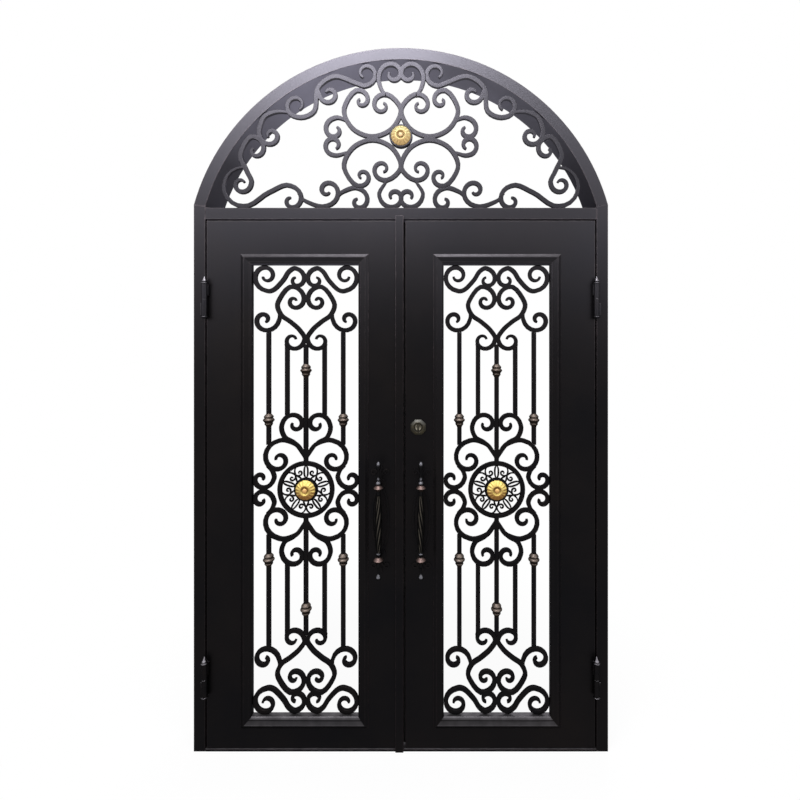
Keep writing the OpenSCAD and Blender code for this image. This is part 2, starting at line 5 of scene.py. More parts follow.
import bpy
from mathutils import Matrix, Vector


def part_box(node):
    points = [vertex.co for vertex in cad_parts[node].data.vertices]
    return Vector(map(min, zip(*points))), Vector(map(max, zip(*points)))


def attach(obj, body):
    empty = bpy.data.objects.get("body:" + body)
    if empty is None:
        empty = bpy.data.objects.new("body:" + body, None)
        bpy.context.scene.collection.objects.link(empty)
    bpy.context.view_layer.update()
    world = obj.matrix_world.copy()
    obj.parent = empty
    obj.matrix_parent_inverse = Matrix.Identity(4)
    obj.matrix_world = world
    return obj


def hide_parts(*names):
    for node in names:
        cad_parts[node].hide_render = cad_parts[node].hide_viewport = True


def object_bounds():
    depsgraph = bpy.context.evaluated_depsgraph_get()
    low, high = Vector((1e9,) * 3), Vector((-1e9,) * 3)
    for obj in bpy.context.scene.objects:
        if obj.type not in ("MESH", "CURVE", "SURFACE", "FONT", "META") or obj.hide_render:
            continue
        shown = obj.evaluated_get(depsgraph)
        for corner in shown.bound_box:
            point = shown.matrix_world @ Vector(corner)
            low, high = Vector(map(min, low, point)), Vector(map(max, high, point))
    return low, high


bl_info = {
    "name": "Wrought Iron Double Door",
    "version": (1, 0, 0),
    "blender": (4, 5, 0),
    "location": "View3D > Sidebar > Iron Door",
    "description": "Dresses an arched double door in satin iron, rubbed copper and gilt",
    "category": "Add Mesh",
}

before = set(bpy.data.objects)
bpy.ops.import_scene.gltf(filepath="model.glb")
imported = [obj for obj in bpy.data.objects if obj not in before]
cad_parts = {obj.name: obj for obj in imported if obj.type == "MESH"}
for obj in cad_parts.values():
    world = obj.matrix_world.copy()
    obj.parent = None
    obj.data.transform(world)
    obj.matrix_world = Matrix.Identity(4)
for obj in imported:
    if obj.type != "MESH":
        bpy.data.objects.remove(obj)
CAD_LOW, CAD_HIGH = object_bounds()

MM = 0.001
SENSOR_WIDTH = 36
SIDES = ("left", "right")
LEAF_BODY = {"left": "left_leaf", "right": "right_leaf"}


# ---- Settings that a user changes in the sidebar ----


def colour_setting(name, description, default):
    return bpy.props.FloatVectorProperty(
        name=name, description=description, subtype="COLOR", size=4, min=0, max=1,
        default=default)


class IronSettings(bpy.types.PropertyGroup):
    """The black iron of the frame, the leaves and the scrollwork"""

    paint: colour_setting(
        "Paint", "Colour of the black paint", (0.0060, 0.0058, 0.0066, 1))
    glaze: colour_setting(
        "Glaze", "Brown glaze that clouds the black", (0.0092, 0.0080, 0.0080, 1))
    # Painted highlight: grey that lightens the paint toward the crown, where the lamps catch it
    crown_highlight: colour_setting(
        "Bloom", "Grey bloom of the paint toward the crown", (0.106, 0.103, 0.119, 1))
    # Height at which the painted highlight starts
    highlight_foot: bpy.props.FloatProperty(
        name="Bloom Foot", description="Height at which the grey bloom starts", unit="LENGTH",
        min=0, max=4, default=1.5)
    low_edge: colour_setting(
        "Low Edge", "Reddish brown rubbed on the lower edges", (0.036, 0.026, 0.028, 1))
    # Painted highlight: the edges turn pinkish grey near the transom, where the lamps catch them
    high_edge_highlight: colour_setting(
        "High Edge", "Pinkish grey rubbed on the edges near the transom", (0.215, 0.185, 0.198, 1))
    # Dusting and painted highlight: pale grey where faces look up toward the lamps
    dusted_lit_slope: colour_setting(
        "Dusted Slope", "Pale grey left on the slopes that face up", (0.128, 0.122, 0.130, 1))
    # Painted highlight: grey under the crown of the arch, on faces looking down
    soffit_highlight: colour_setting(
        "Soffit", "Grey bloom under the crown of the arch", (0.250, 0.241, 0.305, 1))
    # Painted highlight: a pale spot on the front of the hinges' cones
    cone_tip_highlight: colour_setting(
        "Cone Tip", "Bare metal on the hinges' cones", (0.26, 0.25, 0.27, 1))
    roughness: bpy.props.FloatProperty(
        name="Roughness", description="Roughness of the satin paint", subtype="FACTOR",
        min=0, max=1, default=0.46)
    edge_bevel: bpy.props.FloatProperty(
        name="Edge Bevel", description="Rounding of the steel's edges", unit="LENGTH",
        min=0.0002, max=0.004, default=0.0016)
    bar_bevel: bpy.props.FloatProperty(
        name="Bar Bevel", description="Rounding of the scrollwork's bars", unit="LENGTH",
        min=0.0002, max=0.004, default=0.0022)


class RosetteSettings(bpy.types.PropertyGroup):
    """The gilt rosettes"""

    gold: colour_setting(
        "Gold", "Colour of the gilding", (0.68, 0.555, 0.175, 1))
    # Painted shade: orange brown where the gilding faces down
    shade: colour_setting(
        "Shade", "Orange brown left in the hollows", (0.27, 0.132, 0.038, 1))
    petals: bpy.props.IntProperty(
        name="Petals", description="Petals round the rosette", min=10, max=32, default=16)


class HandleSettings(bpy.types.PropertyGroup):
    """The twisted pull handles"""

    # Copper brown for the painted highlights on the handles' bells, also taken for rubbed wear
    copper: colour_setting(
        "Copper", "Copper brown rubbed on the turnings", (0.165, 0.116, 0.105, 1))
    strands: bpy.props.IntProperty(
        name="Strands", description="Strands of the twisted grip", min=3, max=8, default=4)
    twist: bpy.props.FloatProperty(
        name="Twist", description="Turn of the strands along the grip", subtype="ANGLE",
        min=0, max=14, default=math.radians(320))


class StageSettings(bpy.types.PropertyGroup):
    """Lamps, floor and camera"""

    key_power: bpy.props.FloatProperty(
        name="Key Power", description="Power of the soft box over the arch", unit="POWER",
        min=0, max=2000, default=90)
    fill_power: bpy.props.FloatProperty(
        name="Fill Power", description="Power of the broad fill lamps", unit="POWER",
        min=0, max=2000, default=55)
    camera_distance: bpy.props.FloatProperty(
        name="Camera Distance", description="Distance from the lens to the door's face",
        unit="LENGTH", min=1, max=10, default=1.9)
    eye_height: bpy.props.FloatProperty(
        name="Eye Height", description="Height of the lens over the ground", unit="LENGTH",
        min=0.5, max=3, default=1.796)


# ---- Steps that the operators share ----


def deselect():
    if bpy.context.object and bpy.context.object.mode != "OBJECT":
        bpy.ops.object.mode_set(mode="OBJECT")
    bpy.ops.object.select_all(action="DESELECT")


def pick(*pieces):
    """Selects the pieces, with the first of them active."""
    deselect()
    for piece in pieces:
        piece.select_set(True)
    bpy.context.view_layer.objects.active = pieces[0]


def name_new(name):
    piece = bpy.context.object
    piece.name = name
    piece.data.name = name
    return piece


def new_disc(name, sides, radius, height=0.0):
    """A flat disc about the Z axis, from which a body is drawn upward."""
    deselect()
    bpy.ops.mesh.primitive_circle_add(
        vertices=sides, radius=radius, fill_type="NGON", location=(0, 0, height))
    return name_new(name)


def edit_mesh():
    bpy.ops.object.mode_set(mode="EDIT")
    bpy.ops.mesh.select_all(action="SELECT")


def close_mesh():
    """Turns the faces of the mesh in hand outward and leaves edit mode."""
    bpy.ops.mesh.select_all(action="SELECT")
    bpy.ops.mesh.normals_make_consistent(inside=False)
    bpy.ops.object.mode_set(mode="OBJECT")


def grow(rise, factor=1.0, turn=0.0):
    """Extrudes the selected loop up by rise, then scales and turns it about the axis."""
    bpy.ops.mesh.extrude_region_move(TRANSFORM_OT_translate={"value": (0, 0, rise)})
    if factor != 1.0:
        bpy.ops.transform.resize(value=(factor, factor, 1), center_override=(0, 0, 0))
    if turn:
        bpy.ops.transform.rotate(value=turn, orient_axis="Z", center_override=(0, 0, 0))


def lathe(name, profile, sides):
    """Turns a closed body about the Z axis from (radius, height) points read upward."""
    radius, height = profile[0]
    piece = new_disc(name, sides, radius, height)
    bpy.ops.object.transform_apply(location=True, rotation=True, scale=True)
    edit_mesh()
    for next_radius, next_height in profile[1:]:
        grow(next_height - height, next_radius / radius)
        radius, height = next_radius, next_height
    close_mesh()
    return piece


def place(piece, location, rotation=(0, 0, 0)):
    """Moves a finished mesh to its place, with the object itself left at the origin."""
    pick(piece)
    piece.rotation_euler = rotation
    piece.location = location
    bpy.ops.object.transform_apply(location=True, rotation=True, scale=True)


def smooth(piece, degrees):
    """Shades a piece smooth, but for the edges that bend by more than the angle."""
    pick(piece)
    bpy.ops.object.shade_smooth_by_angle(angle=math.radians(degrees))


def join(pieces, name):
    pick(*pieces)
    bpy.ops.object.join()
    return name_new(name)


def apply_all(piece):
    pick(piece)
    for modifier in list(piece.modifiers):
        bpy.ops.object.modifier_apply(modifier=modifier.name)


def finish_piece(piece, material, body, slot, *nodes):
    piece.data.materials.clear()
    piece.data.materials.append(material)
    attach(piece, body)
    if nodes:
        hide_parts(*nodes)


# ---- Finishes ----


FLOAT, COLOUR = "NodeSocketFloat", "NodeSocketColor"
SHEEN = {"Specular_IOR_Level": 0.1, "Specular_Tint": (0.35, 0.35, 0.37, 1)}
LIT_EDGE_BEND, SHARP_BEND = 0.995, 0.86  # cosines between which an edge is rubbed, and lit by painted highlight, more and more
HIGHLIGHT_CURVE = 2.6  # how late on its way up the painted highlight gathers
SHADE_SAMPLES = 6


def group_tree(name, inputs, outputs):
    """A shader node group with (name, socket type, default) inputs and (name, type) outputs."""
    tree = bpy.data.node_groups.new(name, "ShaderNodeTree")
    for socket, kind, default in inputs:
        made = tree.interface.new_socket(name=socket, in_out="INPUT", socket_type=kind)
        made.default_value = default
    for socket, kind in outputs:
        tree.interface.new_socket(name=socket, in_out="OUTPUT", socket_type=kind)
    return tree, tree.nodes.new("NodeGroupInput").outputs, tree.nodes.new("NodeGroupOutput")


def feed(tree, socket, value):
    """Links a socket to another node's output, or sets it to a plain value."""
    if isinstance(value, bpy.types.NodeSocket):
        tree.links.new(value, socket)
    else:
        socket.default_value = value


def feed_all(tree, node, **values):
    """Feeds a node's inputs by their names, written with _ for a space."""
    for name, value in values.items():
        feed(tree, node.inputs[name.replace("_", " ")], value)


def math_node(tree, operation, first, second, clamp=False):
    node = tree.nodes.new("ShaderNodeMath")
    node.operation = operation
    node.use_clamp = clamp
    feed(tree, node.inputs[0], first)
    feed(tree, node.inputs[1], second)
    return node.outputs[0]


def object_place(tree):
    """Where a point lies in the frame that all the pieces share."""
    return tree.nodes.new("ShaderNodeTexCoord").outputs["Object"]


def axes(tree, vector):
    node = tree.nodes.new("ShaderNodeSeparateXYZ")
    tree.links.new(vector, node.inputs["Vector"])
    return node.outputs


def noise_node(tree, scale, detail=3.0):
    node = tree.nodes.new("ShaderNodeTexNoise")
    feed_all(tree, node, Detail=detail, Roughness=0.55, Scale=scale, Vector=object_place(tree))
    return node.outputs["Fac"]


def map_range(tree, value, low, high, new_low=0.0, new_high=1.0):
    node = tree.nodes.new("ShaderNodeMapRange")
    feed_all(tree, node, Value=value, From_Min=low, From_Max=high,
             To_Min=new_low, To_Max=new_high)
    return node.outputs["Result"]


def blend_colours(tree, factor, first, second):
    node = tree.nodes.new("ShaderNodeMix")
    node.data_type = "RGBA"
    tree.links.new(factor, node.inputs["Factor"])
    sockets = [socket for socket in node.inputs if socket.type == "RGBA"]
    for socket, value in zip(sockets, (first, second)):
        feed(tree, socket, value)
    return next(socket for socket in node.outputs if socket.type == "RGBA")


def patchy_mask(tree, given, result, mask, low, high, least):
    """Hands a mask out, thinned to patches by a noise between low and high."""
    noise = noise_node(tree, given["Breakup"])
    patches = map_range(tree, noise, low, high, least, 1.0)
    feed_all(tree, result, Mask=math_node(tree, "MULTIPLY", mask, patches, clamp=True))


def make_lit_edge_group():
    """Where an edge stands proud, which takes rubbed wear and painted highlights."""
    tree, given, result = group_tree(
        "Rubbed And Lit Edges", [("Radius", FLOAT, 0.002), ("Breakup", FLOAT, 60.0)], [("Mask", FLOAT)])
    bevel = tree.nodes.new("ShaderNodeBevel")
    bevel.samples = SHADE_SAMPLES
    feed_all(tree, bevel, Radius=given["Radius"])
    geometry = tree.nodes.new("ShaderNodeNewGeometry")
    dot = tree.nodes.new("ShaderNodeVectorMath")
    dot.operation = "DOT_PRODUCT"
    feed(tree, dot.inputs[0], bevel.outputs["Normal"])
    feed(tree, dot.inputs[1], geometry.outputs["Normal"])
    bend = map_range(tree, dot.outputs["Value"], LIT_EDGE_BEND, SHARP_BEND)
    patchy_mask(tree, given, result, bend, 0.35, 0.65, 0.25)
    return tree


def make_paint_group():
    """Clouded satin paint with a painted highlight toward the crown: its colour, its roughness and
    the height of its fine skin.
    """
    black = (0, 0, 0, 1)
    tree, given, result = group_tree(
        "Satin Paint",
        [("Paint", COLOUR, black), ("Glaze", COLOUR, black), ("Bloom", COLOUR, black),
         ("Bloom Foot", FLOAT, 1.5), ("Bloom Crown", FLOAT, 3.1), ("Cloud Scale", FLOAT, 3.0),
         ("Skin Scale", FLOAT, 400.0), ("Roughness", FLOAT, 0.45)],
        [("Color", COLOUR), ("Roughness", FLOAT), ("Height", FLOAT), ("Rise", FLOAT)])
    clouds = noise_node(tree, given["Cloud Scale"], 4.0)
    cloud_mask = map_range(tree, clouds, 0.35, 0.7)
    clouded = blend_colours(tree, cloud_mask, given["Paint"], given["Glaze"])
    height = axes(tree, object_place(tree))["Z"]
    rise = map_range(tree, height, given["Bloom Foot"], given["Bloom Crown"])
    # Painted highlight: the paint turns grey toward the crown
    highlight_mask = math_node(tree, "POWER", rise, HIGHLIGHT_CURVE)
    shift = map_range(tree, clouds, 0.3, 0.7, -0.035, 0.035)
    feed_all(tree, result,
             Color=blend_colours(tree, highlight_mask, clouded, given["Bloom"]),
             Roughness=math_node(tree, "ADD", given["Roughness"], shift, clamp=True),
             Height=noise_node(tree, given["Skin Scale"], 2.0),
             Rise=rise)
    return tree


def make_hollow_group():
    """Painted shade in hollows, from the depth that light can reach."""
    tree, given, result = group_tree(
        "Painted Hollow Shade", [("Reach", FLOAT, 0.004), ("Breakup", FLOAT, 90.0)], [("Mask", FLOAT)])
    occlusion = tree.nodes.new("ShaderNodeAmbientOcclusion")
    occlusion.samples = SHADE_SAMPLES
    feed_all(tree, occlusion, Distance=given["Reach"])
    deep = map_range(tree, occlusion.outputs["AO"], 0.95, 0.45)
    patchy_mask(tree, given, result, deep, 0.3, 0.7, 0.6)
    return tree


def make_lit_slope_group():
    """Where a surface faces up, or squarely out of the door: a painted highlight, also taken for
    dusting and rubbing.
    """
    tree, given, result = group_tree(
        "Worn And Lit Slopes",
        [("Up", FLOAT, 1.0), ("Out", FLOAT, 0.0), ("Low", FLOAT, 0.2), ("High", FLOAT, 0.6),
         ("Breakup", FLOAT, 60.0)],
        [("Mask", FLOAT)])
    normal = axes(tree, tree.nodes.new("ShaderNodeNewGeometry").outputs["Normal"])
    either_face = math_node(tree, "ABSOLUTE", normal["Y"], 0.0)
    out = math_node(tree, "MULTIPLY", either_face, given["Out"])
    up = math_node(tree, "MULTIPLY", normal["Z"], given["Up"])
    lit_slope = map_range(tree, math_node(tree, "ADD", up, out), given["Low"], given["High"])
    patchy_mask(tree, given, result, lit_slope, 0.3, 0.65, 0.55)
    return tree


def place_group(tree, group, **values):
    node = tree.nodes.new("ShaderNodeGroup")
    node.node_tree = group
    feed_all(tree, node, **values)
    return node.outputs


def new_material(name):
    material = bpy.data.materials.new(name)
    material.use_nodes = True
    return material, material.node_tree, material.node_tree.nodes["Principled BSDF"]


def add_bump(tree, shader, height, distance):
    bump = tree.nodes.new("ShaderNodeBump")
    feed_all(tree, bump, Strength=1.0, Distance=distance, Height=height)
    feed_all(tree, shader, Normal=bump.outputs["Normal"])


class Finishes:
    """The materials, made once and shared by the operators."""

    def __init__(self):
        self.edges = make_lit_edge_group()
        self.paint = make_paint_group()
        self.hollows = make_hollow_group()
        self.lit_slopes = make_lit_slope_group()
        iron = bpy.context.scene.iron_settings
        handles = bpy.context.scene.handle_settings
        gilt = bpy.context.scene.rosette_settings
        self.sheet = self.painted(
            "Satin black sheet", iron, cloud=2.2, skin=900.0, bump=0.00001, lit_edge_radius=0.0055, dust_and_highlight=0.8)
        self.forged = self.painted(
            "Forged black bars", iron, cloud=9.0, skin=260.0, bump=0.00005, lit_edge_radius=0.0030, crown_highlight=0.80)
        self.cast = self.painted(
            "Cast black fittings", iron, cloud=14.0, skin=420.0, bump=0.00010, lit_edge_radius=0.0012)
        # Hinges: a stronger painted crown highlight on their barrels, and a painted highlight on
        # their cones
        self.hinge = self.painted(
            "Cast black hinges", iron, cloud=14.0, skin=420.0, bump=0.00010, lit_edge_radius=0.0010,
            crown_highlight=2.6, tip_highlight=True)
        # Painted highlights on the finials, bells, collars and grip strands, where they face up
        # and out
        self.highlit_turnings = self.rubbed(
            "Iron turnings with painted highlights", dark=(0.0065, 0.0062, 0.0066, 1),
            bright=(0.125, 0.125, 0.138, 1), metal=0.85, Up=1.60, Out=0.50, Low=0.70, High=1.0)
        self.copper = self.rubbed(
            "Rubbed copper with painted highlights", dark=(0.010, 0.007, 0.006, 1), bright=tuple(handles.copper),
            metal=0.75, Up=1.0, Out=0.40, Low=0.56, High=0.88)
        self.collar = self.rubbed(
            "Rubbed collars with painted highlights", dark=(0.014, 0.010, 0.008, 1), bright=(0.165, 0.135, 0.115, 1),
            metal=0.75, rim=0.1, Up=0.75, Out=0.52, Low=0.38, High=0.92)
        # Painted highlight lines along the strands that face squarely out of the door
        self.grip = self.rubbed(
            "Twisted grip iron with painted highlights", dark=(0.0045, 0.0042, 0.0042, 1), bright=(0.076, 0.067, 0.054, 1),
            metal=0.85, Up=0.10, Out=0.995, Low=0.955, High=1.0)
        self.gilt = self.gilding(
            "Gilding", gold=tuple(gilt.gold), shade=tuple(gilt.shade),
            pale=(0.37, 0.345, 0.18, 1), pale_shade=(0.43, 0.30, 0.135, 1))
        self.button = self.gilding(
            "Gilt buttons", gold=(0.72, 0.47, 0.190, 1), shade=(0.46, 0.25, 0.090, 1),
            pale=(0.43, 0.33, 0.19, 1), pale_shade=(0.52, 0.36, 0.20, 1))
        self.bronze = self.lock_bronze()
        self.brass = self.plug_brass()
        self.rubber = self.seal_rubber()

    def painted(self, name, iron, cloud, skin, bump, lit_edge_radius, dust_and_highlight=0.0, crown_highlight=1.0, tip_highlight=False):
        """Black paint, rubbed brown at its low edges, with painted grey highlights on higher edges
        and toward the crown.
        """
        material, tree, shader = new_material(name)
        # Painted highlight toward the crown, stronger or weaker for each finish
        highlight_colour = [crown_highlight * (b - p) + p for b, p in zip(iron.crown_highlight, iron.paint)]
        paint = place_group(tree, self.paint, Cloud_Scale=cloud, Skin_Scale=skin,
                            Roughness=iron.roughness, Paint=iron.paint, Glaze=iron.glaze,
                            Bloom=highlight_colour, Bloom_Foot=iron.highlight_foot, Bloom_Crown=CAD_HIGH.z)
        edges = place_group(tree, self.edges, Radius=lit_edge_radius, Breakup=38.0)
        # Rubbed reddish brown on low edges, turning to a painted highlight higher up
        edge = blend_colours(tree, paint["Rise"], tuple(iron.low_edge), tuple(iron.high_edge_highlight))
        colour = blend_colours(tree, edges["Mask"], paint["Color"], edge)
        if dust_and_highlight:
            # Dusting and painted highlight where the paint faces up
            lit_slopes = place_group(tree, self.lit_slopes, Low=0.22, High=0.75, Breakup=24.0)
            share = math_node(tree, "MULTIPLY", lit_slopes["Mask"], dust_and_highlight)
            colour = blend_colours(tree, share, colour, tuple(iron.dusted_lit_slope))
            colour = self.under_arch(tree, colour, paint["Rise"], tuple(iron.soffit_highlight))
        if tip_highlight:
            # Painted highlight on the cones, where they face up and out of the door
            cones = place_group(tree, self.lit_slopes, Up=0.7, Out=0.7, Low=0.70, High=0.90,
                                Breakup=40.0)
            colour = blend_colours(tree, cones["Mask"], colour, tuple(iron.cone_tip_highlight))
        feed_all(tree, shader, Base_Color=colour, Roughness=paint["Roughness"], Metallic=0.85,
                 **SHEEN)
        add_bump(tree, shader, paint["Height"], bump)
        return material

    def under_arch(self, tree, colour, rise, soffit_highlight):
        """Adds a painted highlight high on faces looking down, thinner on the right half."""
        under = place_group(tree, self.lit_slopes, Up=-1.0, Low=0.50, High=0.88, Breakup=2.5)
        share = math_node(tree, "MULTIPLY", under["Mask"], rise)
        across = axes(tree, object_place(tree))["X"]
        # Painted highlight thinned toward the right half
        right_fade = map_range(tree, across, 0.0, 0.25, 1.0, 0.45)
        share = math_node(tree, "MULTIPLY", share, right_fade)
        return blend_colours(tree, share, colour, soffit_highlight)

    def rubbed(self, name, dark, bright, metal, rim=0.0, **worn):
        """Dark metal, bright where it faces up and out and a little along its rims: painted
        highlights, also taken for rubbing.
        """
        material, tree, shader = new_material(name)
        lit_slopes = place_group(tree, self.lit_slopes, Breakup=150.0, **worn)
        edges = place_group(tree, self.edges, Radius=0.0012, Breakup=110.0)
        rims = math_node(tree, "MULTIPLY", edges["Mask"], rim)
        mask = math_node(tree, "MAXIMUM", lit_slopes["Mask"], rims, clamp=True)
        # Painted shade: the hollows turn back to the dark metal
        hollows = place_group(tree, self.hollows, Reach=0.006, Breakup=110.0)
        rubbed_and_lit = blend_colours(tree, mask, dark, bright)
        feed_all(tree, shader, Base_Color=blend_colours(tree, hollows["Mask"], rubbed_and_lit, dark),
                 Roughness=map_range(tree, mask, 0, 1, 0.50, 0.42), Metallic=metal, **SHEEN)
        add_bump(tree, shader, noise_node(tree, 300.0), 0.0001)
        return material

    def gilding(self, name, gold, shade, pale, pale_shade):
        """Gold lit where it faces up, with painted shade where it faces down and in its grooves,
        paler toward the crown.
        """
        # Painted shade for the grooves between the petals
        low_hollow_shade, high_hollow_shade = (0.24, 0.140, 0.042, 1), (0.20, 0.140, 0.065, 1)
        pale_from, pale_full = 1.4, 2.8
        material, tree, shader = new_material(name)
        hollows = place_group(tree, self.hollows, Reach=0.010, Breakup=70.0)
        # Painted light and shade: gold where the surface faces up, orange brown where it faces
        # down
        lit_slopes = place_group(tree, self.lit_slopes, Low=-0.32, High=0.36, Breakup=40.0)
        high_up = map_range(tree, axes(tree, object_place(tree))["Z"], pale_from, pale_full)
        leaf = blend_colours(tree, high_up, gold, pale)
        shaded_gold = blend_colours(tree, high_up, shade, pale_shade)
        lit = blend_colours(tree, lit_slopes["Mask"], shaded_gold, leaf)
        hollow_shade = blend_colours(tree, high_up, low_hollow_shade, high_hollow_shade)
        feed_all(tree, shader, Base_Color=blend_colours(tree, hollows["Mask"], lit, hollow_shade),
                 Metallic=0.8, Specular_IOR_Level=0.2,
                 Roughness=map_range(tree, noise_node(tree, 140.0), 0.3, 0.7, 0.54, 0.62))
        add_bump(tree, shader, noise_node(tree, 220.0), 0.00005)
        return material

    def lock_bronze(self):
        """Dark bronze with a brassy tint, a painted highlight where it faces up and painted shade
        in its hollows.
        """
        dark, brassy = (0.022, 0.021, 0.018, 1), (0.044, 0.037, 0.022, 1)
        # Painted highlight for facets that face up, and painted shade for the hollows
        pale, hollow_shade = (0.085, 0.085, 0.078, 1), (0.016, 0.014, 0.011, 1)
        material, tree, shader = new_material("Lock bronze")
        hollows = place_group(tree, self.hollows, Reach=0.003, Breakup=120.0)
        lit_slopes = place_group(tree, self.lit_slopes, Low=0.15, High=0.55, Breakup=70.0)
        tint = map_range(tree, noise_node(tree, 35.0), 0.35, 0.65)
        lit_faced = blend_colours(tree, lit_slopes["Mask"], blend_colours(tree, tint, dark, brassy), pale)
        feed_all(tree, shader, Base_Color=blend_colours(tree, hollows["Mask"], lit_faced, hollow_shade),
                 Metallic=0.9,
                 Roughness=map_range(tree, noise_node(tree, 200.0), 0.3, 0.7, 0.42, 0.54))
        return material

    def plug_brass(self):
        """Worn brass, with painted shadow in the keyway."""
        dull, worn = (0.036, 0.031, 0.020, 1), (0.130, 0.118, 0.092, 1)
        # Painted shadow for the keyway, laid where light reaches little
        keyway = (0.008, 0.007, 0.005, 1)
        material, tree, shader = new_material("Plug brass")
        hollows = place_group(tree, self.hollows, Reach=0.0065, Breakup=120.0)
        wear = map_range(tree, noise_node(tree, 40.0), 0.35, 0.6)
        face = blend_colours(tree, wear, dull, worn)
        feed_all(tree, shader, Base_Color=blend_colours(tree, hollows["Mask"], face, keyway),
                 Metallic=0.9,
                 Roughness=map_range(tree, noise_node(tree, 500.0), 0.3, 0.7, 0.28, 0.4))
        return material

    def seal_rubber(self):
        """Dull black rubber."""
        black, greyed = (0.008, 0.008, 0.008, 1), (0.014, 0.013, 0.013, 1)
        material, tree, shader = new_material("Seal rubber")
        mottle = map_range(tree, noise_node(tree, 60.0), 0.3, 0.7)
        feed_all(tree, shader, Base_Color=blend_colours(tree, mottle, black, greyed),
                 Roughness=0.7, Specular_IOR_Level=0.2)
        return material


finishes = {}


def finish(name):
    if "made" not in finishes:
        finishes["made"] = Finishes()
    return getattr(finishes["made"], name)


SAME_POINT = 0.02 * MM
SHARP_EDGE = math.radians(32)


def soften(node, width):
    """Merges a node's loose triangles, then rounds its edges."""
    weld = node.modifiers.new("Merge", "WELD")
    weld.merge_threshold = SAME_POINT
    bevel = node.modifiers.new("Rounded edges", "BEVEL")
    bevel.width = width
    bevel.segments = 2
    bevel.limit_method = "ANGLE"
    bevel.angle_limit = SHARP_EDGE
    bevel.use_clamp_overlap = False
    bevel.miter_outer = "MITER_ARC"
    normals = node.modifiers.new("Face normals", "WEIGHTED_NORMAL")
    normals.mode = "FACE_AREA"
    normals.weight = 90
    normals.keep_sharp = False


def dress(node, material, width):
    """Gives a solid of the frame its finish and eases its edges."""
    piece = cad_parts[node]
    piece.data.materials.clear()
    piece.data.materials.append(material)
    for face in piece.data.polygons:
        face.use_smooth = True
    soften(piece, width)


# ---- Operators ----


class DOOR_OT_steelwork(bpy.types.Operator):
    """Paint the frame, the leaves and their mouldings, and ease their edges"""

    bl_idname = "door.steelwork"
    bl_label = "Frame and Leaves"

    def execute(self, context):
        width = context.scene.iron_settings.edge_bevel
        for node in ("left_jamb", "right_jamb", "arch_head", "transom_bar", "threshold",
                     "door_stops", "meeting_strip"):
            dress(node, finish("sheet"), width)
        for side in SIDES:
            dress(f"{side}_leaf_frame", finish("sheet"), width)
            for face in ("front", "back"):
                dress(f"{side}_{face}_moulding", finish("sheet"), width / 2)
        return {"FINISHED"}


class DOOR_OT_scrollwork(bpy.types.Operator):
    """Finish the scrolls, uprights, tracery and hinges as forged black iron"""

    bl_idname = "door.scrollwork"
    bl_label = "Scrollwork and Hinges"

    def execute(self, context):
        width = context.scene.iron_settings.bar_bevel
        for where in ("centre", "left", "right"):
            dress(f"transom_{where}_scrolls", finish("forged"), width)
        for side in SIDES:
            for kind in ("top_scrolls", "centre_scrolls", "bottom_scrolls", "uprights"):
                dress(f"{side}_{kind}", finish("forged"), width)
            dress(f"{side}_tracery", finish("forged"), width / 2)
            dress(f"{side}_handle_plates", finish("cast"), width / 2)
            dress(f"{side}_handle_posts", finish("cast"), width / 4)
            dress(f"{side}_hinge_posts", finish("hinge"), width / 4)
            dress(f"{side}_hinge_knuckles", finish("hinge"), width / 4)
        return {"FINISHED"}


class DOOR_OT_collars(bpy.types.Operator):
    """Model the turned collars on the uprights"""

    bl_idname = "door.collars"
    bl_label = "Collars"

    def execute(self, context):
        for side in SIDES:
            node = f"{side}_collars"
            low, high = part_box(node)
            middle = (low + high) / 2
            radius = (high.y - low.y) / 2
            offset = (high.x - low.x) / 2 - radius
            turned = [self.collar(radius, (middle.x + x, middle.y, z))
                      for x, z in self.places(node, middle.x, offset)]
            collars = join(turned, f"{side}_turned_collars")
            smooth(collars, 45)
            finish_piece(collars, finish("collar"), LEAF_BODY[side], "rubbed_collar", node)
        return {"FINISHED"}

    def places(self, node, middle_x, offset):
        """Offsets and heights of the collars, read from the solids that they stand for."""
        heights = {}
        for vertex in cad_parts[node].data.vertices:
            x = round((vertex.co.x - middle_x) / offset) * offset
            heights.setdefault(round(x, 4), []).append(vertex.co.z)
        found = []
        for x, all_z in heights.items():
            split = (min(all_z) + max(all_z)) / 2
            for group in ([z for z in all_z if z < split], [z for z in all_z if z > split]):
                found.append((x, (min(group) + max(group)) / 2))
        return found

    def collar(self, radius, location):
        """Tapered neck, drum, wide rim, and a bead under the upper cone."""
        rim = radius / MM
        lift = 2
        profile = [
            (11.0, -31.5), (11.8, -28.5), (14.4, -24.5), (17.2, -20.8), (18.2, -18.8),
            (18.0, -17.0), (17.0, -15.0), (18.4, -11.5), (20.2, -8.0), (0.90 * rim, -5.6),
            (0.96 * rim, -3.6), (rim, -1.4), (rim, 0.6), (0.96 * rim, 2.6), (0.90 * rim, 4.2),
            (20.6, 5.8), (19.2, 7.6), (19.0, 9.2), (19.8, 10.8), (20.8, 12.6), (20.8, 14.6),
            (19.8, 17.0), (17.4, 20.2), (14.2, 23.6), (11.4, 27.0)]
        collar = lathe("collar", [(r * MM, (z + lift) * MM) for r, z in profile], 32)
        place(collar, location)
        return collar


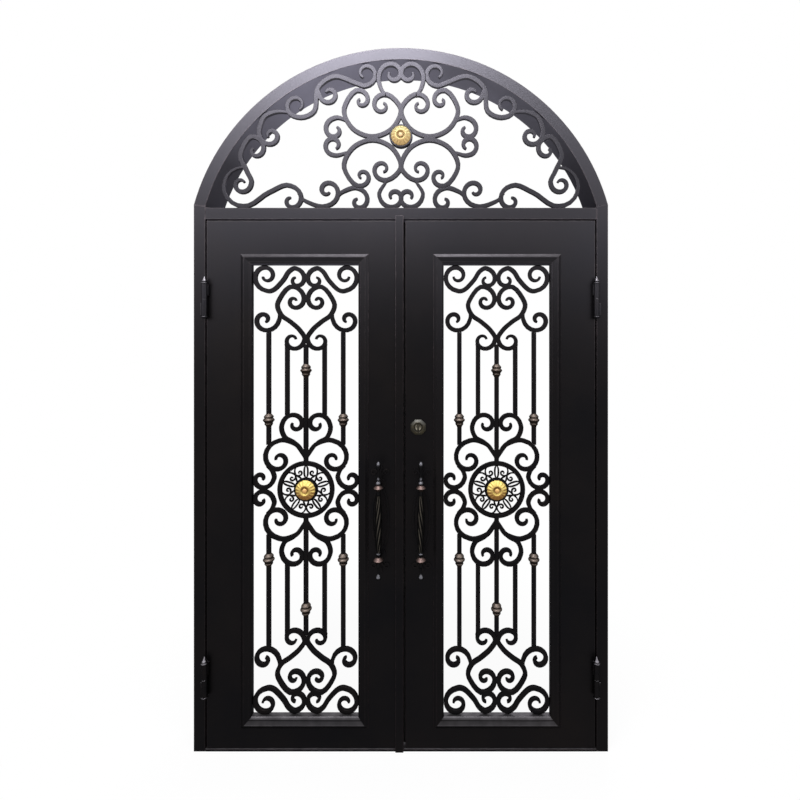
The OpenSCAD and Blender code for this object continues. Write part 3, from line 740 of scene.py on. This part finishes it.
class DOOR_OT_meeting_seal(bpy.types.Operator):
    """Model the rubber bulb that closes the gap between the two leaves"""

    bl_idname = "door.meeting_seal"
    bl_label = "Meeting Seal"

    def execute(self, context):
        strip_low, strip_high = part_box("meeting_strip")
        leaf_low, leaf_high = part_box("right_leaf_frame")
        rooted, clear, end, thick, inset = 2 * MM, 0.4 * MM, 1 * MM, 5 * MM, 12 * MM
        left, right = strip_high.x - rooted, leaf_low.x - clear
        depth = (strip_low.y + strip_high.y) / 2 + inset
        seal = new_disc("meeting_seal", 20, 0.5)
        edit_mesh()
        bpy.ops.transform.resize(value=(right - left, thick, 1))
        bpy.ops.transform.translate(value=((left + right) / 2, depth, leaf_low.z + end))
        grow(leaf_high.z - leaf_low.z - 2 * end)
        close_mesh()
        smooth(seal, 50)
        finish_piece(seal, finish("rubber"), "left_leaf", "wrought_iron")
        return {"FINISHED"}


class DOOR_OT_rosettes(bpy.types.Operator):
    """Model the gilt rosettes with their petals, inner ring and button"""

    bl_idname = "door.rosettes"
    bl_label = "Gilt Rosettes"

    # Shares of the rosette's radius and depth
    button_shape = (
        (0.215, 0.60), (0.213, 0.76), (0.200, 0.86), (0.165, 0.93), (0.115, 0.975),
        (0.06, 0.995), (0.01, 1.0))
    rim_shape = (
        (0.93, 0), (1, 0.04), (1, 0.26), (0.96, 0.36), (0.90, 0.38), (0.86, 0.33), (0.84, 0.2))
    flower_shape = (
        (1.0, 0.14), (1.0, 0.28), (0.985, 0.38), (0.95, 0.48), (0.89, 0.58), (0.82, 0.67),
        (0.74, 0.76), (0.66, 0.84), (0.58, 0.91), (0.51, 0.95), (0.45, 0.97), (0.41, 0.95),
        (0.38, 0.89), (0.345, 0.79), (0.31, 0.71), (0.27, 0.68), (0.22, 0.67), (0.10, 0.67))

    def execute(self, context):
        petals = context.scene.rosette_settings.petals
        for where, body in (("transom", "frame"), *LEAF_BODY.items()):
            node = f"{where}_rosette"
            low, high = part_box(node)
            centre = (low + high) / 2
            radius = (high.x - low.x) / 2
            depth = high.y - low.y
            disc = self.flower(f"{node}_gilt", radius * 0.885, depth, petals)
            button = self.turned(f"{node}_button", self.button_shape, radius, depth, 32)
            rim = self.turned(f"{node}_rim", self.rim_shape, radius, depth, 64)
            for piece in (disc, rim, button):
                place(piece, (centre.x, high.y, centre.z), (math.pi / 2, 0, 0))
            finish_piece(button, finish("button"), body, "gilt")
            finish_piece(rim, finish("cast"), body, "wrought_iron")
            finish_piece(disc, finish("gilt"), body, "gilt", node)
        return {"FINISHED"}

    def turned(self, name, shape, radius, depth, sides):
        piece = lathe(name, [(radius * r, depth * h) for r, h in shape], sides)
        smooth(piece, 50)
        return piece

    def flower(self, name, radius, depth, petals):
        """A dished disc whose petals are parted by grooves, with a raised inner ring."""
        inner, outer, lip = 0.52, 0.99, 0.9
        groove, floor, scallop = depth * 0.14, depth * 0.3, 0.035
        disc = lathe(name, [(r * radius, h * depth) for r, h in self.flower_shape], petals * 6)
        for vertex in disc.data.vertices:
            r = math.hypot(vertex.co.x, vertex.co.y) / radius
            phase = (math.atan2(vertex.co.y, vertex.co.x) / math.tau * petals) % 1
            parting = abs(2 * phase - 1) ** 1.7
            if inner < r < outer and vertex.co.z > floor:
                fade = math.sin(math.pi * ((r - inner) / (outer - inner)) ** 1.5) ** 0.7
                vertex.co.z -= groove * parting * fade
            if r > lip:
                pull = 1 - scallop * parting * (r - lip) / (1 - lip)
                vertex.co.x *= pull
                vertex.co.y *= pull
        smooth(disc, 60)
        return disc


class DOOR_OT_pull_handles(bpy.types.Operator):
    """Model the pull handles: twisted grip, domed discs, necks and finials"""

    bl_idname = "door.pull_handles"
    bl_label = "Pull Handles"

    def execute(self, context):
        settings = context.scene.handle_settings
        for side, lean in zip(SIDES, (-1, 1)):
            posts_low, posts_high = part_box(f"{side}_handle_posts")
            post_r = (posts_high.x - posts_low.x) / 2
            posts = (posts_low.z + post_r, posts_high.z - post_r)
            for face in ("", "inner_"):
                node = f"{side}_{face}pull_handle"
                self.handle(node, posts, lean * settings.twist, settings.strands, LEAF_BODY[side])
        return {"FINISHED"}

    def handle(self, node, posts, twist, strands, body):
        low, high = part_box(node)
        axis = (low + high) / 2
        disc_r = (high.x - low.x) / 2
        lower, upper = posts
        turnings = join([self.top_finial(upper, high.z), self.bottom_finial(lower, low.z)],
                        f"{node}_turnings")
        discs = join([self.disc(upper, disc_r), self.disc(lower, disc_r)], f"{node}_discs")
        grip = self.grip(lower + 34 * MM, upper - 32 * MM, twist, strands, f"{node}_grip")
        for piece, material, slot, replaced in (
                (turnings, "highlit_turnings", "handle_iron", ()), (discs, "copper", "rubbed_collar", ()),
                (grip, "grip", "handle_iron", (node,))):
            smooth(piece, 50)
            place(piece, (axis.x, axis.y, 0))
            finish_piece(piece, finish(material), body, slot, *replaced)

    def turned(self, name, shape, height, sides=32):
        """Turns a body from points in millimetres, measured from the given height."""
        return lathe(name, [(r * MM, height + z * MM) for r, z in shape], sides)

    def disc(self, height, radius):
        """A bell at a post, widest at its lower rim."""
        shape = [(0.38, -13), (0.50, -11.5), (0.52, -9), (0.48, -5), (0.58, -2), (0.94, -0.8),
                 (0.99, -0.5), (1.0, 0.1), (0.99, 0.8), (0.94, 1.8), (0.86, 3.8), (0.75, 6.2),
                 (0.64, 8.4), (0.55, 10.4), (0.49, 12), (0.46, 13.5)]
        return self.turned("disc", [(r * radius / MM, z) for r, z in shape], height, 40)

    def top_finial(self, post, top):
        """Neck, cone and teardrop over the upper disc, and the ring and neck under it."""
        rise = (top - post) / MM
        shape = [
            (5, -33), (7.2, -32), (8.6, -30), (8.9, -27), (8.6, -22), (8.0, -16), (8, 10),
            (7, 12.5), (8.6, 14), (11.8, 16), (12.4, 18), (11.6, 21.5), (9.6, 25.5), (7.9, 28.5),
            (7.0, 30), (7.6, 31.5), (8.4, 33), (7.4, 37), (5.6, 42.5), (4.4, 47), (4.0, 53),
            (3.8, rise - 47), (4.6, rise - 42), (5.6, rise - 40), (5.2, rise - 38),
            (6.8, rise - 35), (9.2, rise - 29), (10.7, rise - 23), (10.6, rise - 18),
            (9.0, rise - 11), (6.6, rise - 5), (4.2, rise - 1.8), (2.0, rise - 0.4), (0.6, rise)]
        return self.turned("top_finial", shape, post)

    def bottom_finial(self, post, bottom):
        """Ring and neck over the lower disc, and the drop and flared foot under it."""
        drop = (post - bottom) / MM
        shape = [
            (2, -drop), (7.5, -drop + 0.8), (10.6, -drop + 3), (11.8, -drop + 6),
            (11.4, -drop + 9), (9.4, -drop + 14), (6.6, -drop + 20), (4.9, -drop + 25),
            (4.4, -drop + 31), (4.6, -34), (6.4, -31.5), (8.4, -29), (9.0, -26), (8.8, -21),
            (8.2, -16), (8, 10), (7, 13), (6.6, 17), (7.5, 20), (9.4, 21.5), (10.2, 24),
            (10.0, 27), (9.0, 29), (6.6, 30.2), (6, 33), (5, 35)]
        return self.turned("bottom_finial", shape, post)

    def grip(self, low, high, twist, strands, name):
        """Round strands laid side by side, swollen at the middle and twisted as one."""
        steps, core = 60, 0.74
        length = high - low
        piece = new_disc(name, strands * 14, 1.0)
        for vertex in piece.data.vertices:
            phase = (math.atan2(vertex.co.y, vertex.co.x) / math.tau * strands) % 1
            vertex.co *= core + (1 - core) * math.sin(math.pi * phase) ** 0.75
        scale = self.swell(0)
        edit_mesh()
        bpy.ops.transform.resize(value=(scale, scale, 1), center_override=(0, 0, 0))
        bpy.ops.transform.translate(value=(0, 0, low))
        for step in range(1, steps + 1):
            wanted = self.swell(step / steps)
            grow(length / steps, wanted / scale, twist / steps)
            scale = wanted
        close_mesh()
        return piece

    def swell(self, share):
        """Radius of the grip at a share of its length."""
        slender, swelling = 7.5 * MM, 9.3 * MM
        return slender + swelling * math.sin(math.pi * (0.06 + 0.88 * share)) ** 0.85


class DOOR_OT_deadbolt(bpy.types.Operator):
    """Model the deadbolt's eight-sided bodies and its key plug"""

    bl_idname = "door.deadbolt"
    bl_label = "Deadbolt"

    def execute(self, context):
        plug_low, plug_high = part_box("key_plug")
        plug_r = (plug_high.x - plug_low.x) / 2
        self.body("deadbolt_rosette", "deadbolt_body", plug_r, -1)
        self.body("deadbolt_inner_rosette", "deadbolt_inner_body", plug_r, 1)
        self.plug(plug_low, plug_high, plug_r)
        return {"FINISHED"}

    def body(self, node, name, plug_r, facing):
        """An eight-sided body with a sloped flank, bored and rimmed on the street side."""
        low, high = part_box(node)
        centre = (low + high) / 2
        depth = high.y - low.y
        eighth = math.pi / 8
        corner = (high.x - low.x) / 2 / math.cos(eighth)
        face = corner - 12.5 * MM
        body = lathe(name, [(corner, 0), (corner, depth * 0.33), (face, depth * 0.97),
                            (face - 3.5 * MM, depth * 0.97), (face - 4 * MM, depth * 0.86)], 8)
        place(body, (0, 0, 0), (0, 0, eighth))
        self.ease(body, 0.7 * MM)
        if facing < 0:
            hole = plug_r + 0.2 * MM
            self.bore(body, hole, depth)
            rim = lathe("rim", [(hole, depth * 0.6), (hole + 1.4 * MM, depth * 0.6),
                                (hole + 1.4 * MM, depth * 0.93), (hole + 0.9 * MM, depth),
                                (hole + 0.2 * MM, depth), (hole, depth * 0.95)], 48)
            self.bore(rim, hole, depth)
            body = join([body, rim], name)
        smooth(body, 25)
        back = high.y if facing < 0 else low.y
        place(body, (centre.x, back, centre.z), (math.pi / 2 * -facing, 0, 0))
        finish_piece(body, finish("bronze"), "right_leaf", "lock_bronze", node)

    def plug(self, low, high, radius):
        """A plug with a rounded ridge about its keyway."""
        depth = high.y - low.y
        drawn_radius, drawn_depth = 16, 11
        shape = [(15.8, 0), (15.8, 8.4), (15.4, 9.4), (14.4, 10.3), (13.0, 10.85), (11.4, 10.95),
                 (10.0, 10.6), (9.0, 10.0), (7.8, 9.5), (5, 9.3)]
        plug = lathe("key_plug_face", [
            (r / drawn_radius * radius, z / drawn_depth * depth) for r, z in shape], 64)
        self.slot(plug, 10 * MM, 1.85 * radius, depth)
        smooth(plug, 35)
        place(plug, ((low.x + high.x) / 2, high.y, (low.z + high.z) / 2), (math.pi / 2, 0, 0))
        finish_piece(plug, finish("brass"), "lock_plug", "lock_bronze", "key_plug")

    def ease(self, piece, width):
        bevel = piece.modifiers.new("Eased", "BEVEL")
        bevel.width = width
        bevel.segments = 2
        apply_all(piece)

    def bore(self, piece, hole, depth):
        """Opens a body for the key plug."""
        deselect()
        bpy.ops.mesh.primitive_cylinder_add(
            vertices=64, radius=hole, depth=depth * 4, location=(0, 0, 0))
        self.cut(piece, bpy.context.object)

    def slot(self, piece, width, length, depth):
        """Cuts the keyway, wider at its upper end."""
        height = depth * 0.75
        deselect()
        bpy.ops.mesh.primitive_cylinder_add(
            vertices=24, radius=width / 2, depth=depth, location=(0, (length - width) / 2, height))
        self.cut(piece, bpy.context.object)
        deselect()
        bpy.ops.mesh.primitive_cube_add(size=1, location=(0, 0, height))
        bpy.ops.transform.resize(value=(width * 0.8, length, depth))
        self.cut(piece, bpy.context.object)

    def cut(self, piece, cutter):
        cut = piece.modifiers.new("Cut", "BOOLEAN")
        cut.operation = "DIFFERENCE"
        cut.solver = "EXACT"
        cut.object = cutter
        apply_all(piece)
        bpy.data.objects.remove(cutter)


class DOOR_OT_stage(bpy.types.Operator):
    """Set the pale floor, the soft lamps, the white surround and the camera"""

    bl_idname = "door.stage"
    bl_label = "Stage"

    def execute(self, context):
        stage = context.scene.stage_settings
        key, fill = stage.key_power, stage.fill_power
        self.floor()
        self.surround()
        for lamp in (
            ("Soft box over the arch", (-0.8, -2.45, 4.35), (-0.2, -0.076, 2.8), 2.2, 1.5, key),
            ("Ceiling lamp", (0.0, -1.3, 5.4), (0.0, -0.2, 1.5), 2.4, 1.2, key),
            ("Fill from the left", (-3.2, -3.0, 2.6), (0, 0, 1.3), 2.2, 2.2, fill),
            ("Fill from the right", (2.8, -3.0, 2.6), (0, 0, 1.3), 2.2, 2.2, fill),
            ("Fill from the back", (2.2, 3.6, 3.4), (0, 0, 1.5), 2.4, 2.4, fill),
        ):
            self.lamp(*lamp)
        self.camera(stage)
        context.scene.view_settings.view_transform = "Standard"
        return {"FINISHED"}

    def floor(self):
        """A pale floor that looks white from afar and greys a little near the door."""
        greyed_to, white_from = 0.9, 1.7
        deselect()
        bpy.ops.mesh.primitive_plane_add(size=40, location=(0, 0, CAD_LOW.z))
        floor = name_new("floor")
        bpy.ops.object.transform_apply(location=True, rotation=True, scale=True)
        material, tree, shader = new_material("Pale floor")
        feed_all(tree, shader, Base_Color=(0.82, 0.82, 0.82, 1), Roughness=0.9)
        glow = tree.nodes.new("ShaderNodeEmission")
        away = tree.nodes.new("ShaderNodeVectorMath")
        away.operation = "LENGTH"
        feed(tree, away.inputs[0], object_place(tree))
        white = map_range(tree, away.outputs["Value"], greyed_to, white_from, 0.92, 1.0)
        share = tree.nodes.new("ShaderNodeMixShader")
        feed(tree, share.inputs[0], math_node(tree, "MULTIPLY", self.seen(tree), white))
        feed(tree, share.inputs[1], shader.outputs[0])
        feed(tree, share.inputs[2], glow.outputs[0])
        feed_all(tree, tree.nodes["Material Output"], Surface=share.outputs[0])
        floor.data.materials.append(material)

    def seen(self, tree):
        """1 for a ray seen by the camera, in a gloss or through a glass, and 0 for the rest."""
        path = tree.nodes.new("ShaderNodeLightPath").outputs
        glossy = math_node(tree, "MAXIMUM", path["Is Camera Ray"], path["Is Glossy Ray"])
        return math_node(tree, "MAXIMUM", glossy, path["Is Transmission Ray"])

    def surround(self):
        """White where it is seen, and half as bright where it only lights."""
        world = bpy.data.worlds.new("White surround")
        bpy.context.scene.world = world
        world.use_nodes = True
        tree = world.node_tree
        strength = math_node(tree, "MULTIPLY_ADD", self.seen(tree), 0.5)
        strength.node.inputs[2].default_value = 0.5
        feed_all(tree, tree.nodes["Background"], Color=(1, 1, 1, 1), Strength=strength)

    def lamp(self, name, location, target, width, height, power):
        deselect()
        bpy.ops.object.light_add(type="AREA", location=location)
        lamp = bpy.context.object
        lamp.name = name
        lamp.data.shape = "RECTANGLE"
        lamp.data.size = width
        lamp.data.size_y = height
        lamp.data.energy = power
        lamp.data.color = (0.98, 0.97, 1.0)
        aim = Vector(target) - Vector(location)
        lamp.rotation_euler = aim.to_track_quat("-Z", "Y").to_euler()
        lamp.visible_camera = False

    def camera(self, stage):
        """Looks straight along +Y, shifted to take in the whole door."""
        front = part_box("left_jamb")[0].y
        view_width = 3.532
        lens_x = 0.1726
        view_middle = Vector((-0.004, 0, 1.5528))
        camera_data = bpy.data.cameras.new("Camera")
        camera = bpy.data.objects.new("Camera", camera_data)
        bpy.context.scene.collection.objects.link(camera)
        camera.location = (lens_x, front - stage.camera_distance, stage.eye_height)
        camera.rotation_euler = (math.pi / 2, 0, 0)
        camera_data.sensor_width = SENSOR_WIDTH
        camera_data.lens = SENSOR_WIDTH * stage.camera_distance / view_width
        camera_data.shift_x = (view_middle.x - lens_x) / view_width
        camera_data.shift_y = (view_middle.z - stage.eye_height) / view_width
        camera_data.clip_start = 0.01
        bpy.context.scene.camera = camera


class DOOR_PT_panel(bpy.types.Panel):
    """The door's steps and settings, in the 3D view's sidebar"""

    bl_idname = "DOOR_PT_panel"
    bl_label = "Iron Door"
    bl_space_type = "VIEW_3D"
    bl_region_type = "UI"
    bl_category = "Iron Door"

    def draw(self, context):
        layout = self.layout
        for step in STEPS:
            layout.operator(step.bl_idname)
        for name in SETTINGS:
            settings = getattr(context.scene, name)
            box = layout.box()
            for prop in settings.__annotations__:
                box.prop(settings, prop)


SETTINGS = {
    "iron_settings": IronSettings,
    "rosette_settings": RosetteSettings,
    "handle_settings": HandleSettings,
    "stage_settings": StageSettings,
}
STEPS = (
    DOOR_OT_stage,
    DOOR_OT_steelwork,
    DOOR_OT_scrollwork,
    DOOR_OT_collars,
    DOOR_OT_meeting_seal,
    DOOR_OT_rosettes,
    DOOR_OT_pull_handles,
    DOOR_OT_deadbolt,
)
CLASSES = (*SETTINGS.values(), *STEPS, DOOR_PT_panel)


def register():
    for cls in CLASSES:
        bpy.utils.register_class(cls)
    for name, group in SETTINGS.items():
        setattr(bpy.types.Scene, name, bpy.props.PointerProperty(type=group))


def unregister():
    for name in SETTINGS:
        delattr(bpy.types.Scene, name)
    for cls in reversed(CLASSES):
        bpy.utils.unregister_class(cls)


def main():
    register()
    for step in STEPS:
        group, name = step.bl_idname.split(".")
        getattr(getattr(bpy.ops, group), name)()


if __name__ == "__main__":
    main()
